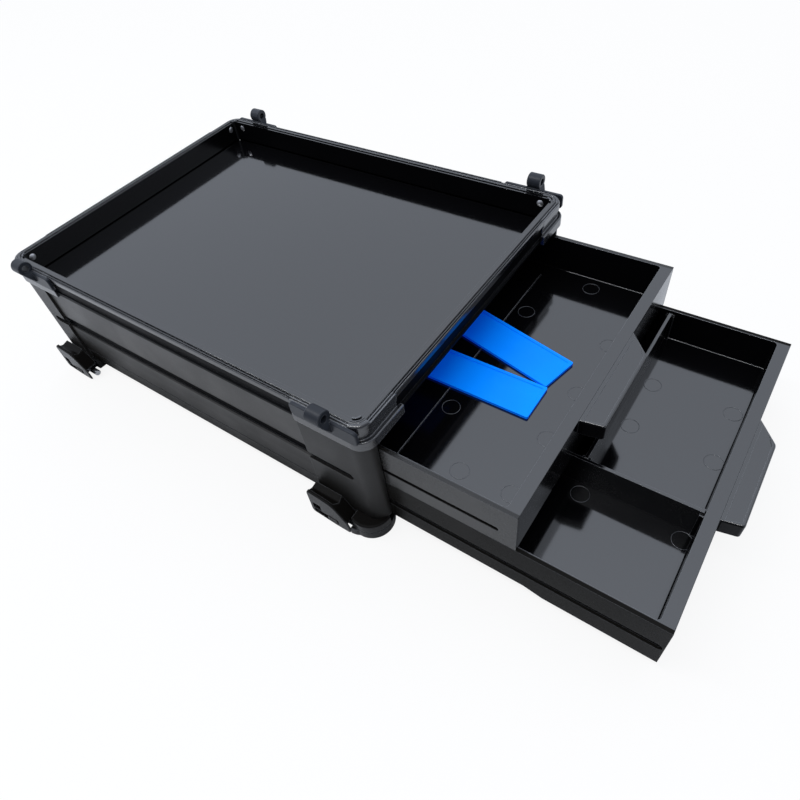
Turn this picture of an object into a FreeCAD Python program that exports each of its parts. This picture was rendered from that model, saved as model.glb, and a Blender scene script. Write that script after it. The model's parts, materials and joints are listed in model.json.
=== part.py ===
import FreeCAD, Part
import math
import os

# A low two-drawer tackle cabinet module that stacks and locks on another one.
# Millimetres. Modelled with X across the cabinet (0 on its centre line), Y from the front
# (0 at the front of the rim) to the back, and Z up from the floor. On export every piece
# moves along Y so that the origin lies under the middle of the whole, drawers drawn out.

Vector = FreeCAD.Vector

# ---- Overall sizes of the cabinet ----
cabinet_width = 292.0
cabinet_depth = 400.0
cabinet_height = 130.0
corner_radius = 12.0
foot_height = 18.0
fit_gap = 0.1            # seam between pieces that are fixed together
slide_gap = 0.3          # all-round clearance of what slides
cut_past = 2.0           # how far a cutting tool reaches past the surface it cuts
near_half = 0.49         # share of a slot's height that rounds its closed end
fine_round = 0.6         # least rounding of a moulded edge
soft_round = 0.8         # usual rounding of a moulded edge

# ---- Rails round the top ----
rail_height = 20.5
rail_bead_height = 7.0
rail_bead_depth = 3.4
rail_lip_height = 3.0
rail_lip_inset = 0.4
rail_web_inset = 1.9
rail_round = 1.5
rail_bead_foot_round = 1.2
rail_web_slope = 1.0

# ---- Corner caps ----
cap_height = 22.0
cap_side_length = 60.0
cap_front_length = 39.0
cap_wall = 3.4
cap_shelf_height = 8.0
cap_shelf_proud = 1.2
cap_shelf_front_proud = 2.6
cap_shelf_extra_length = 3.0
cap_neck_inset = 0.9
cap_neck_height = 6.0
cap_bead_round = 2.6
cap_base_thickness = 2.4
cap_shelf_round = 1.08

# ---- Corner posts ----
post_wall = 3.0
post_thickness = 8.5
front_post_length = 60.0
back_post_length = 34.0
front_lip_width = 12.0
front_lip_depth = 5.0
post_rib_length = 7.0
front_rib_starts = (8.0, 41.0)
back_rib_starts = (11.0,)
post_groove_height = 7.0
post_groove_depth = 2.2
post_groove_start = 18.0
groove_level = 66.5      # centre of the groove line round the sides, above the floor

# ---- Side and back panels ----
panel_inset = 2.2
panel_thickness = 2.0
panel_groove_height = 9.0
panel_groove_depth = 2.2
panel_groove_slope = 3.0
panel_lower_inset = 1.0
panel_bottom = 14.0
panel_edge_round = 1.0
panel_bow_radius = 60.0
panel_foot_taper = 0.6
panel_line_level = 29.0
panel_line_height = 1.0
panel_line_depth = 0.9
panel_tongue_length = 7.0
panel_rib_width = 8.0
panel_rib_front_gap = 90.0
panel_rib_back_gap = 104.0
panel_rib_margin = 5.0

# ---- Top tray ----
tray_rim_width = 4.75
tray_rim_thickness = 2.2
tray_rim_step = 0.8
tray_rim_step_width = 2.3
tray_wall = 2.0
tray_floor_depth = 21.5
tray_floor_thickness = 2.0
tray_inner_radius = 4.0
tray_floor_fillet = 1.5

# ---- Blind rivets of the tray ----
rivet_radius = 1.6
rivet_head_radius = 3.15
rivet_head_height = 1.1
rivet_drop = 7.0
rivet_from_side = 16.0
rivet_from_front = 18.3
rivet_boss_size = 7.2
rivet_grip_depth = 1.5
rivet_pip_share = 0.45   # of the body's radius
rivet_pip_depth = 0.25
rivet_boss_root = 0.5    # how far a boss starts inside the cap's neck

# ---- Drawers, common ----
drawer_side_gap = 0.5    # between a drawer's side and what it slides past
drawer_stack_gap = 0.6   # between the two drawers
drawer_wall = 3.6
drawer_floor_thickness = 2.4
drawer_front_thickness = 9.0
drawer_front_skin = 3.0
drawer_back_gap = 0.6
drawer_front_gap = 0.3
drawer_corner_radius = 3.0
drawer_edge_round = 0.5
drawer_groove_depth = 2.2
drawer_floor_fillet = 1.2

# ---- Upper drawer ----
upper_drop = 30.6        # its top below the rim
upper_floor_rise = 8.0   # inner floor above its bottom
upper_groove_rise = 5.0  # groove above the inner floor
upper_groove_height = 4.0
upper_groove_stop = 12.4
upper_drawn = 93.1       # drawn out in the modelled position
upper_seam_place = 95.4  # shallow seam across the floor, behind the front wall's inner face
seam_margin = 14.0
seam_width = 1.0
seam_depth = 0.5

# ---- Lower drawer ----
lower_top = 59.4
lower_bottom = 16.0
lower_floor_rise = 14.0
lower_groove_rise = 1.0
lower_groove_height = 7.0
lower_groove_stop = 1.0
lower_drawn = 192.8
lower_front_drop = 3.5
lower_drop_start = 78.0
lower_drop_end = 92.0
lower_drop_round = 3.0

# ---- Pulls ----
pull_left = -48.0        # left end where the pull leaves the front
pull_right = 52.0
pull_outer_left = -44.5
pull_outer_right = 30.0
upper_pull_projection = 17.0
lower_pull_projection = 14.6
pull_depth = 13.0
pull_wall = 2.6
pull_drop = 0.6
pull_border = 2.4
pull_dish = 0.7
pull_round = 1.5
pull_left_round = 2.5
pull_right_round = 6.0

# ---- Dividers ----
divider_thickness = 2.4
divider_slot_rib = 2.0
divider_slot_reach = 3.0
divider_top_gap = 1.6
divider_slot_drop = 2.0    # slot ribs end below the divider's top
divider_foot_round = 1.4
divider_root = 0.5
long_divider_place = -45.0
cross_divider_place = 81.0   # from the front wall's inner face to the divider's front face
strip_width = 33.5
strip_length = 165.0
strip_thickness = 2.3
strip_border = 2.6
strip_border_height = 0.5
strip_corner = 1.2
strip_a_right = 9.7      # right of the centre line
strip_a_setback = 28.5   # behind the front wall's inner face
strip_a_angle = -13.3
strip_b_left = 23.6      # left of the centre line
strip_b_setback = 30.5
strip_b_angle = -0.2

# ---- Runners ----
runner_flange_drop = 4.0     # flange below the groove
upper_flange_height = 22.0
lower_flange_height = 24.0
upper_screw_rise = 15.0      # screw above the flange's bottom
lower_screw_rise = 17.5
runner_tip_round = 0.5

# ---- Screws ----
screw_radius = 1.4
screw_clearance = 0.1
screw_head_radius = 2.7
screw_head_height = 1.6
screw_length = 7.5
screw_drive_width = 0.7
screw_drive_depth = 0.8
lug_screw_head_height = 1.8
latch_screw_head_height = 2.4
drive_share = 0.6        # cross recess reach as a share of the head's radius

# ---- Stacking lugs ----
lug_axis_out = 4.8       # outward from the side of the cabinet
lug_axis_rise = 5.0      # above the rim
lug_ring_radius = 6.2
lug_ring_width = 12.0
lug_centre = 29.5        # from the front of the cabinet
back_lug_centre = 35.0   # from the back of the cabinet
lug_pad_front = 2.0
lug_pad_back = 58.0
lug_pad_drop = 13.0
lug_pad_proud = 2.8
lug_pad_round = 3.0
lug_neck_width = 16.0
lug_neck_drop = 10.0
lug_neck_round = 2.0
lug_flare_start_drop = 3.0
lug_flare_end_rise = 1.2
lug_top_gap = 0.4
lug_ring_chamfer = 0.5
lug_screw_cover = 0.8    # left of the pad past a screw hole's end
lug_screw_places = (29.5, 48.0)

# ---- Feet ----
foot_radius = 17.5
foot_centre_in = 7.4     # inward from the side of the cabinet
foot_centre_back = 16.7
foot_sole_height = 9.0
foot_round = 1.6
foot_line_height = 1.0
foot_screw_in = 5.75
foot_screw_places = (9.5, 27.0)
back_foot_screw_places = (16.0, 29.5)
foot_screw_room = 0.4
foot_screw_sink = 9.0
foot_screw_length = 11.5

# ---- Latches ----
bolt_radius = 2.9
bolt_clearance = 0.1
bolt_tip_chamfer = 0.6
bolt_tip_place = 22.0
latch_travel = 14.0
latch_front = 24.5
latch_back = 63.0
latch_height = 33.0
latch_ridge_drop = 3.0       # the ridge is lower where it starts to curve down
latch_lift = 0.8
latch_tail_lift = 3.2
latch_out = 12.8
latch_shelf_out = 6.0
latch_ridge_width = 2.6
latch_shelf_drop = 1.2
latch_shelf_slope = 1.8
latch_nose_height = 9.0
latch_nose_round = 2.0
latch_ridge_start = 38.0
latch_ridge_round = 14.0
latch_nose_curve = 6.0
latch_tail_round = 4.0
latch_face_round = 1.2
pocket_front = 20.5
pocket_back = 38.0
pocket_top = 13.0
pocket_inner = 2.4
pocket_outer = 11.4
thumb_front = 36.4
thumb_length = 9.0
thumb_bottom = 4.6
thumb_top = 9.9
thumb_taper = 1.0
thumb_track_floor = 9.8
thumb_proud = 0.5
thumb_grip_ribs = 3
thumb_neck_width = 5.0
thumb_neck_height = 3.2
thumb_track_margin = 1.2
thumb_grip_width = 1.0
thumb_grip_depth = 0.6
thumb_root = 0.5
bolt_seat_gap = 0.02
latch_screw_back = 55.6
latch_screw_level = 14.5
latch_screw_head_radius = 3.6
latch_screw_recess = 8.0
latch_screw_recess_floor = 6.4
latch_screw_length = 16.0

# ---- Worked out from the sizes above ----
half_width = cabinet_width / 2
half_drawer = half_width - front_lip_width - drawer_side_gap
runner_flange_thickness = front_lip_width - post_thickness - fit_gap
runner_front = front_lip_depth + slide_gap
upper_top = cabinet_height - upper_drop
upper_bottom = lower_top + drawer_stack_gap
upper_floor = upper_bottom + upper_floor_rise
upper_groove_bottom = upper_floor + upper_groove_rise
upper_flange_bottom = upper_groove_bottom - runner_flange_drop
upper_screw_level = upper_flange_bottom + upper_screw_rise
lower_floor = lower_bottom + lower_floor_rise
lower_groove_bottom = lower_floor + lower_groove_rise
lower_flange_bottom = lower_groove_bottom - runner_flange_drop
lower_screw_level = lower_flange_bottom + lower_screw_rise
panel_rib_places = (front_post_length + panel_rib_front_gap,
                    cabinet_depth - back_post_length - panel_rib_back_gap)
lug_spacing = cabinet_depth - lug_centre - back_lug_centre
rail_bottom = cabinet_height - rail_height
cap_bottom = cabinet_height - cap_height
panel_top = rail_bottom - fit_gap
post_top = cap_bottom - fit_gap
lug_level = cabinet_height + lug_axis_rise
bolt_level = lug_axis_rise
tray_floor_level = cabinet_height - tray_floor_depth
tray_outer = rail_bead_depth + fit_gap
tray_inner = tray_outer + tray_rim_width
front_face_closed = -drawer_front_gap - drawer_front_thickness
drawer_back_closed = cabinet_depth - post_thickness - drawer_back_gap
drawer_length = drawer_back_closed - front_face_closed
runner_back = cabinet_depth - corner_radius - fit_gap
front_extent = front_face_closed - lower_pull_projection - lower_drawn
back_extent = cabinet_depth + cap_shelf_front_proud
origin_y = (front_extent + back_extent) / 2


# ---- Geometry helpers ----
def box(x0, x1, y0, y1, z0, z1):
    return Part.makeBox(x1 - x0, y1 - y0, z1 - z0, Vector(x0, y0, z0))


def outline(points, place):
    """Closed face through corners (a, b) or (a, b, radius); place maps (a, b) to space."""
    corners = [(Vector(p[0], p[1], 0), p[2] if len(p) > 2 else 0.0) for p in points]
    edges = []
    ends = []
    for index, (corner, radius) in enumerate(corners):
        before = corners[index - 1][0] - corner
        after = corners[(index + 1) % len(corners)][0] - corner
        before.normalize()
        after.normalize()
        if radius < 0.01:
            ends.append((corner, corner))
            continue
        half_angle = before.getAngle(after) / 2
        reach = radius / math.tan(half_angle)
        start = corner + before * reach
        end = corner + after * reach
        middle = before + after
        middle.normalize()
        mid = corner + middle * (radius / math.sin(half_angle) - radius)
        arc = Part.Arc(place(start), place(mid), place(end))
        edges.append(arc.toShape())
        ends.append((start, end))
    for index, (start, end) in enumerate(ends):
        following = ends[(index + 1) % len(ends)][0]
        if (following - end).Length > 1e-6:
            edges.append(Part.makeLine(place(end), place(following)))
    return Part.Face(Part.Wire(Part.__sortEdges__(edges)))


def prism_x(points, x0, x1):
    """Extrude a (y, z) outline along X."""
    return outline(points, lambda v: Vector(x0, v.x, v.y)).extrude(Vector(x1 - x0, 0, 0))


def prism_y(points, y0, y1):
    """Extrude an (x, z) outline along Y."""
    return outline(points, lambda v: Vector(v.x, y0, v.y)).extrude(Vector(0, y1 - y0, 0))


def prism_z(points, z0, z1):
    """Extrude an (x, y) outline along Z."""
    return outline(points, lambda v: Vector(v.x, v.y, z0)).extrude(Vector(0, 0, z1 - z0))


def rounded_box(x0, x1, y0, y1, z0, z1, radius):
    corners = [(x0, y0, radius), (x1, y0, radius), (x1, y1, radius), (x0, y1, radius)]
    return prism_z(corners, z0, z1)


def cylinder(radius, start, end):
    direction = end - start
    return Part.makeCylinder(radius, direction.Length, start, direction)


def cone(radius_start, radius_end, start, end):
    direction = end - start
    return Part.makeCone(radius_start, radius_end, direction.Length, start, direction)


def join(shapes):
    return shapes[0].fuse(shapes[1:]).removeSplitter() if len(shapes) > 1 else shapes[0]


def cut(shape, tools):
    return shape.cut(tools) if tools else shape


def keep_inside(shape, region):
    return shape.common(region)


def edges_where(shape, test):
    return [edge for edge in shape.Edges if test(edge)]


def flat_at(edge, level):
    """True when an edge lies in the horizontal plane at a level."""
    bounds = edge.BoundBox
    return abs(bounds.ZMin - level) < 1e-4 and abs(bounds.ZMax - level) < 1e-4


def to_right(shape):
    """Mirror a piece of the left side to the right side."""
    return shape.mirror(Vector(0, 0, 0), Vector(1, 0, 0))


def to_back(shape):
    """Mirror a piece of the front half to the back half."""
    return shape.mirror(Vector(0, cabinet_depth / 2, 0), Vector(0, 1, 0))


def moved_back(shape):
    """Copy of a latch piece, moved from a front lug to the back lug behind it."""
    copy = shape.copy()
    copy.translate(Vector(0, lug_spacing, 0))
    return copy


def side_x(inward):
    """X of a place given inward from the left side of the cabinet."""
    return inward - half_width


def cabinet_block(side_inset, end_inset, z0, z1):
    """Rounded plan of the whole cabinet, inset from the sides and from front and back."""
    radius = max(corner_radius - max(side_inset, end_inset), 1.0)
    return rounded_box(side_inset - half_width, half_width - side_inset,
                       end_inset, cabinet_depth - end_inset, z0, z1, radius)


def tray_room():
    """Room that the tray's well takes inside the walls, with its seam."""
    inset = tray_inner - tray_wall - fit_gap
    low = tray_floor_level - tray_floor_thickness - fit_gap
    return rounded_box(side_x(inset), -side_x(inset), inset, cabinet_depth - inset, low,
                       cabinet_height + cut_past, tray_inner_radius + tray_wall + fit_gap)


def corner_region(side_length, end_length, z0, z1):
    """The front left corner of the cabinet, as a cutting box."""
    outside = half_width + 3 * foot_radius
    return box(-outside, side_x(end_length), -3 * foot_radius, side_length, z0, z1)


# ---- Fasteners ----
def drive_cross(centre, axis, size):
    """Cross recess of a screw head: two thin boxes sunk along the axis."""
    half = screw_drive_width / 2
    depth = screw_drive_depth
    if abs(axis.x) > 0.5:
        start = centre.x - depth
        first = box(start, start + 2 * depth, centre.y - size, centre.y + size,
                    centre.z - half, centre.z + half)
        second = box(start, start + 2 * depth, centre.y - half, centre.y + half,
                     centre.z - size, centre.z + size)
        return [first, second]
    start = centre.z - depth
    first = box(centre.x - size, centre.x + size, centre.y - half, centre.y + half,
                start, start + 2 * depth)
    second = box(centre.x - half, centre.x + half, centre.y - size, centre.y + size,
                 start, start + 2 * depth)
    return [first, second]


def countersunk_screw(top, inward, length):
    """Screw whose flat head lies at top and whose shank runs inward."""
    head = cone(screw_head_radius, screw_radius, top, top + inward * screw_head_height)
    shank = cylinder(screw_radius, top, top + inward * length)
    return cut(join([head, shank]), drive_cross(top, inward, screw_head_radius * drive_share))


def countersunk_hole(top, inward, length):
    """Room for a countersunk screw, with its clearance."""
    wider = screw_head_radius + screw_clearance
    narrow = screw_radius + screw_clearance
    start = top - inward * fit_gap
    head = cone(wider + fit_gap, narrow, start, top + inward * screw_head_height)
    shank = cylinder(narrow, start, top + inward * (length + screw_clearance))
    return join([head, shank])


def pan_screw(seat, inward, length, head_radius, head_height):
    """Screw whose head stands on seat and whose shank runs inward."""
    head_top = seat - inward * head_height
    head = cylinder(head_radius, seat, head_top)
    rim = edges_where(head, lambda edge: edge.BoundBox.Center.sub(head_top).Length < 0.01)
    head = head.makeFillet(min(soft_round, head_height / 2), rim[:1])
    shank = cylinder(screw_radius, seat, seat + inward * length)
    return cut(join([head, shank]), drive_cross(head_top, inward, head_radius * drive_share))


# ---- Rails ----
def rail_section():
    """Section of a rail: (inward, height) corners."""
    bead_bottom = cabinet_height - rail_bead_height
    lip_top = rail_bottom + rail_lip_height
    corners = [
        (0.0, cabinet_height, rail_round),
        (rail_bead_depth, cabinet_height, fine_round),
        (rail_bead_depth, rail_bottom),
        (rail_lip_inset, rail_bottom, fine_round),
        (rail_lip_inset, lip_top, soft_round),
        (rail_web_inset, lip_top + rail_web_slope),
        (rail_web_inset, bead_bottom + rail_web_slope),
        (0.0, bead_bottom, rail_bead_foot_round),
    ]
    return corners


def side_rail():
    start = cap_side_length + fit_gap
    points = [(side_x(c[0]),) + c[1:] for c in rail_section()]
    return prism_y(points, start, cabinet_depth - start)


def end_rail():
    """Front rail, between the front caps."""
    reach = half_width - cap_front_length - fit_gap
    return prism_x(rail_section(), -reach, reach)


# ---- Corner caps ----
def cap_hollow():
    """Room inside the cap's walls, above its base."""
    return cabinet_block(cap_wall, cap_wall, cap_bottom + cap_base_thickness,
                         cabinet_height + cut_past)


def corner_cap(screw_places):
    """Cap of the front left corner, with holes for the lug screws at screw_places."""
    shelf_top = cap_bottom + cap_shelf_height
    neck_top = shelf_top + cap_neck_height
    shelf = cabinet_block(-cap_shelf_proud, -cap_shelf_front_proud, cap_bottom, shelf_top)
    shelf_edges = edges_where(shelf, lambda edge: flat_at(edge, shelf_top))
    shelf = shelf.makeFillet(cap_shelf_round, shelf_edges)
    region = corner_region(cap_side_length, cap_front_length, 0, cabinet_height + cut_past)
    shelf_region = corner_region(cap_side_length, cap_front_length + cap_shelf_extra_length,
                                 0, cabinet_height)
    front_room = box(side_x(cap_front_length), 0, rail_lip_inset - fit_gap, cap_wall + cut_past,
                     cap_bottom, cabinet_height)
    neck = cabinet_block(cap_neck_inset, cap_neck_inset, shelf_top, neck_top)
    bead = cabinet_block(0.0, 0.0, neck_top, cabinet_height)
    bead_edges = edges_where(bead, lambda edge: flat_at(edge, cabinet_height))
    bead = bead.makeFillet(cap_bead_round, bead_edges)
    cap = join([keep_inside(shelf, shelf_region), keep_inside(neck, region),
                keep_inside(bead, region)])
    cap = cut(cap, [cap_hollow(), tray_room(), front_room])
    bosses = [keep_inside(boss, region) for boss in rivet_bosses()]
    cap = join([cap] + bosses)
    cap = cut(cap, rivet_holes() + lug_screw_holes(screw_places))
    return cap


def rivet_spots():
    """Head seats of the two rivets of the front left corner, and the way they run."""
    level = cabinet_height - rivet_drop
    on_front = Vector(side_x(rivet_from_side), tray_inner, level)
    on_side = Vector(side_x(tray_inner), rivet_from_front, level)
    return [(on_front, Vector(0, -1, 0)), (on_side, Vector(-1, 0, 0))]


def rivet_bosses():
    """Blocks inside the cap that the rivets pull the tray wall against."""
    back = tray_inner - tray_wall - fit_gap
    half = rivet_boss_size / 2
    root = cap_neck_inset + rivet_boss_root
    level = cabinet_height - rivet_drop
    low = level - half
    high = cabinet_height - tray_rim_thickness - fit_gap
    on_front = box(side_x(rivet_from_side) - half, side_x(rivet_from_side) + half,
                   root, back, low, high)
    on_side = box(side_x(root), side_x(back),
                  rivet_from_front - half, rivet_from_front + half, low, high)
    return [on_front, on_side]


def rivet_holes():
    holes = []
    for seat, inward in rivet_spots():
        length = tray_inner - rivet_grip_depth + screw_clearance
        holes.append(cylinder(rivet_radius + screw_clearance, seat, seat + inward * length))
    return holes


def rivet(seat, inward):
    """Blind rivet: domed head on the tray's wall, body through wall and cap."""
    length = tray_inner - rivet_grip_depth
    body = cylinder(rivet_radius, seat, seat + inward * length)
    rise = rivet_head_height
    sphere_radius = (rivet_head_radius ** 2 + rise ** 2) / (2 * rise)
    centre = seat + inward * (sphere_radius - rise)
    dome = Part.makeSphere(sphere_radius, centre)
    slab = cylinder(rivet_head_radius + cut_past, seat, seat - inward * (2 * rise))
    pip = cylinder(rivet_radius * rivet_pip_share, seat - inward * (rise - rivet_pip_depth),
                   seat - inward * (2 * rise))
    return join([cut(dome.common(slab), [pip]), body])


# ---- Corner posts ----
def post_hollow(rib_starts, length):
    """The open spaces between a post's ribs, behind its skin."""
    low = foot_height + post_wall
    high = post_top - post_wall
    room = cabinet_block(post_wall, post_wall, low, high)
    starts = [front_lip_depth] + [start + post_rib_length for start in rib_starts]
    ends = list(rib_starts) + [length + cut_past]
    spaces = []
    for start, end in zip(starts, ends):
        slot = box(-half_width, side_x(post_thickness + cut_past), start, end, low, high)
        spaces.append(room.common(slot))
    return spaces


def runner_screw_seats(places):
    """Seats of runner screws on the left, at given places along Y: flange face, running out."""
    seats = []
    for level in (upper_screw_level, lower_screw_level):
        for place in places:
            inner = post_thickness + fit_gap + runner_flange_thickness
            seats.append(Vector(side_x(inner), place, level))
    return seats


def runner_screw_holes(places):
    outward = Vector(-1, 0, 0)
    return [countersunk_hole(seat, outward, screw_length) for seat in runner_screw_seats(places)]


def groove_slot(start, end):
    """Groove line in a post, round at its front end."""
    half = post_groove_height / 2
    low = groove_level - half
    high = groove_level + half
    end_round = post_groove_height * near_half
    outline_points = [(start, low, end_round), (end, low), (end, high), (start, high, end_round)]
    return prism_x(outline_points, side_x(-cut_past), side_x(post_groove_depth))


def front_post():
    block = cabinet_block(0, 0, foot_height, post_top)
    post = keep_inside(block, corner_region(front_post_length, front_lip_width, 0, post_top))
    drawer_room = box(side_x(post_thickness), 0, front_lip_depth, cabinet_depth,
                      0, cabinet_height)
    holes = runner_screw_holes(front_screw_places())
    tools = [drawer_room] + post_hollow(front_rib_starts, front_post_length) + holes
    tools.append(groove_slot(post_groove_start, front_post_length + cut_past))
    return cut(post, tools + foot_screw_holes(foot_screw_places) + [tray_room()])


def back_post():
    """The back post in front-corner position; it wraps round on to the back."""
    ring = cut(cabinet_block(0, 0, foot_height, post_top),
               [cabinet_block(post_thickness, post_thickness, 0, cabinet_height)])
    post = keep_inside(ring, corner_region(back_post_length, back_post_length, 0, post_top))
    low = foot_height + post_wall
    high = post_top - post_wall
    spaces = []
    room = cut(cabinet_block(post_wall, post_wall, low, high),
               [corner_block(low, high)])
    for start in back_rib_starts:
        rib_end = start + post_rib_length
        spaces.append(room.common(box(-half_width, 0, rib_end, cabinet_depth / 2, low, high)))
        spaces.append(room.common(box(side_x(rib_end), 0, 0, start, low, high)))
    post = cut(post, spaces)
    holes = runner_screw_holes(back_screw_places())
    tools = holes + [groove_slot(post_groove_start, back_post_length + cut_past)]
    return cut(post, tools + foot_screw_holes(back_foot_screw_places) + [tray_room()])


def corner_block(low, high):
    """Solid web in the angle of the back post."""
    reach = back_rib_starts[0] + post_rib_length
    return box(-half_width, side_x(reach), 0, reach, low, high)


def front_screw_places():
    return [start + post_rib_length / 2 for start in front_rib_starts[1:]]


def back_screw_places():
    return [start + post_rib_length / 2 for start in back_rib_starts]


# ---- Panels ----
def panel_section():
    """Section of a side panel: (inward, height) corners, outside then inside."""
    half = panel_groove_height / 2
    outer = panel_inset
    deep = panel_inset + panel_groove_depth
    low = panel_inset + panel_lower_inset
    line_top = panel_line_level + panel_line_height
    inner = deep + panel_thickness
    return [
        (outer, panel_top),
        (outer, groove_level + half + panel_groove_slope, panel_edge_round),
        (deep, groove_level + half - panel_groove_slope, panel_edge_round),
        (deep, groove_level - half),
        (outer, groove_level - half - fine_round, soft_round),
        (outer, (groove_level + line_top) / 2, panel_bow_radius),
        (low, line_top),
        (low + panel_line_depth, line_top),
        (low + panel_line_depth, panel_line_level),
        (low, panel_line_level),
        (low + panel_foot_taper, panel_bottom, panel_edge_round),
        (inner, panel_bottom),
        (inner, groove_level - half - panel_groove_slope),
        (inner, panel_top),
    ]


def side_panel():
    start = front_post_length + fit_gap
    end = cabinet_depth - back_post_length - fit_gap
    points = [(side_x(c[0]),) + c[1:] for c in panel_section()]
    panel = prism_y(points, start, end)
    inner = panel_inset + panel_groove_depth + panel_thickness
    tongue = box(side_x(post_wall + fit_gap), side_x(inner), start - panel_tongue_length,
                 end + panel_tongue_length, foot_height + post_wall + fit_gap,
                 post_top - post_wall - fit_gap)
    tongue = cut(tongue, [box(side_x(0), side_x(inner + cut_past), start, end,
                              0, cabinet_height)])
    ribs = []
    for place in panel_rib_places:
        ribs.append(box(side_x(inner - fit_gap), side_x(post_thickness),
                        place - panel_rib_width / 2, place + panel_rib_width / 2,
                        panel_bottom + panel_rib_margin, panel_top - panel_rib_margin))
    panel = join([panel, tongue] + ribs)
    cap_room = to_back(corner_region(cap_side_length + fit_gap, cap_front_length, post_top,
                                     cabinet_height))
    tools = runner_screw_holes(panel_rib_places) + [cap_room, tray_room()]
    return cut(panel, tools)


def back_panel():
    """Back panel, modelled along the front and then mirrored to the back."""
    reach = half_width - back_post_length - fit_gap
    panel = prism_x(panel_section(), -reach, reach)
    inner = panel_inset + panel_groove_depth + panel_thickness
    low = foot_height + post_wall + fit_gap
    high = post_top - post_wall - fit_gap
    tongue = box(-reach - panel_tongue_length, reach + panel_tongue_length,
                 post_wall + fit_gap, inner, low, high)
    tongue = cut(tongue, [box(-reach, reach, 0, inner + cut_past, 0, cabinet_height)])
    cap_end = cap_front_length + cap_shelf_extra_length + fit_gap
    cap_room = corner_region(cap_side_length, cap_end, post_top, cabinet_height)
    return cut(join([panel, tongue]), [cap_room, to_right(cap_room), tray_room()])


# ---- Tray ----
def top_tray():
    rim_low = cabinet_height - tray_rim_thickness
    bottom = tray_floor_level - tray_floor_thickness
    wall_outer = tray_inner - tray_wall
    rim = cabinet_block(tray_outer, tray_outer, rim_low, cabinet_height)
    rim_edges = edges_where(rim, lambda edge: flat_at(edge, cabinet_height))
    rim = rim.makeFillet(fine_round, rim_edges)
    well = rounded_box(side_x(wall_outer), -side_x(wall_outer), wall_outer,
                       cabinet_depth - wall_outer, bottom, cabinet_height - tray_rim_step,
                       tray_inner_radius + tray_wall)
    inside = rounded_box(side_x(tray_inner), -side_x(tray_inner), tray_inner,
                         cabinet_depth - tray_inner, tray_floor_level,
                         cabinet_height + cut_past, tray_inner_radius)
    floor_edges = edges_where(inside, lambda edge: flat_at(edge, tray_floor_level))
    inside = inside.makeFillet(tray_floor_fillet, floor_edges)
    step_outer = tray_inner - tray_rim_step_width
    step = rounded_box(side_x(step_outer), -side_x(step_outer), step_outer,
                       cabinet_depth - step_outer, cabinet_height - tray_rim_step,
                       cabinet_height + cut_past, tray_inner_radius + tray_rim_step_width)
    tray = cut(join([rim, well]), [inside, step])
    holes = []
    for hole in rivet_holes():
        holes += four_corners(hole)
    return cut(tray, holes)


def four_corners(shape):
    right = to_right(shape)
    return [shape, right, to_back(shape), to_back(right)]


# ---- Stacking lugs ----
def back_lug_screw_places():
    """Places of a back lug's screws, from the back of the cabinet."""
    return [place - lug_centre + back_lug_centre for place in lug_screw_places]


def lug_screw_seats(places):
    level = cabinet_height - rivet_drop
    return [Vector(side_x(cap_wall), place, level) for place in places]


def lug_screw_holes(places):
    holes = []
    for seat in lug_screw_seats(places):
        end = seat - Vector(cap_wall + lug_pad_proud - lug_screw_cover, 0, 0)
        holes.append(cylinder(screw_radius + screw_clearance, seat + Vector(cut_past, 0, 0), end))
    return holes


def lug_bracket():
    """Ring with its neck and two pads, on the side of the front left cap."""
    back = side_x(-fit_gap)
    pad_top = cabinet_height - lug_top_gap
    pad_bottom = cabinet_height - lug_pad_drop
    ring_start = lug_centre - lug_ring_width / 2
    ring_end = lug_centre + lug_ring_width / 2
    axis_x = side_x(-lug_axis_out)
    pad_outline = [
        (lug_pad_front, pad_bottom, lug_pad_round),
        (lug_pad_back, pad_bottom, lug_pad_round),
        (lug_pad_back, pad_top, lug_pad_round),
        (lug_pad_front, pad_top, lug_pad_round),
    ]
    pads = prism_x(pad_outline, side_x(-lug_pad_proud), back)
    face = edges_where(pads, lambda edge: abs(edge.BoundBox.XMax - side_x(-lug_pad_proud)) < 1e-4)
    pads = pads.makeFillet(soft_round, face)
    ring = cylinder(lug_ring_radius, Vector(axis_x, ring_start, lug_level),
                    Vector(axis_x, ring_end, lug_level))
    ring_edges = edges_where(ring, lambda edge: len(edge.Vertexes) == 1)
    ring = ring.makeChamfer(lug_ring_chamfer, ring_edges)
    neck_outline = [
        (back, cabinet_height - lug_top_gap),
        (back, cabinet_height - lug_neck_drop),
        (side_x(-lug_pad_proud), cabinet_height - lug_neck_drop),
        (axis_x - lug_ring_radius * math.cos(math.pi / 6), lug_level - lug_ring_radius / 2,
         lug_neck_round),
        (axis_x, lug_level),
    ]
    flare_start = lug_centre - lug_neck_width / 2
    flare_end = lug_centre + lug_neck_width / 2
    flare_low = cabinet_height - lug_flare_start_drop
    flare_high = cabinet_height + lug_flare_end_rise
    neck = prism_y(neck_outline, flare_start, flare_end)
    neck_sides = prism_x([
        (flare_start, cabinet_height - lug_neck_drop, lug_neck_round),
        (flare_end, cabinet_height - lug_neck_drop, lug_neck_round),
        (flare_end, flare_low, lug_neck_round),
        (ring_end, flare_high),
        (ring_end, lug_level + lug_ring_radius),
        (ring_start, lug_level + lug_ring_radius),
        (ring_start, flare_high),
        (flare_start, flare_low, lug_neck_round),
    ], side_x(-4 * lug_axis_out), side_x(cut_past))
    lug = join([pads, ring, neck.common(neck_sides)])
    bore = cylinder(bolt_radius + bolt_clearance,
                    Vector(axis_x, ring_start - lug_neck_width, lug_level),
                    Vector(axis_x, ring_end + lug_neck_width, lug_level))
    return cut(lug, [bore] + lug_screw_holes(lug_screw_places))


# ---- Feet ----
def foot_screw_seats(places):
    return [Vector(side_x(foot_screw_in), place, foot_screw_sink) for place in places]


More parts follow.
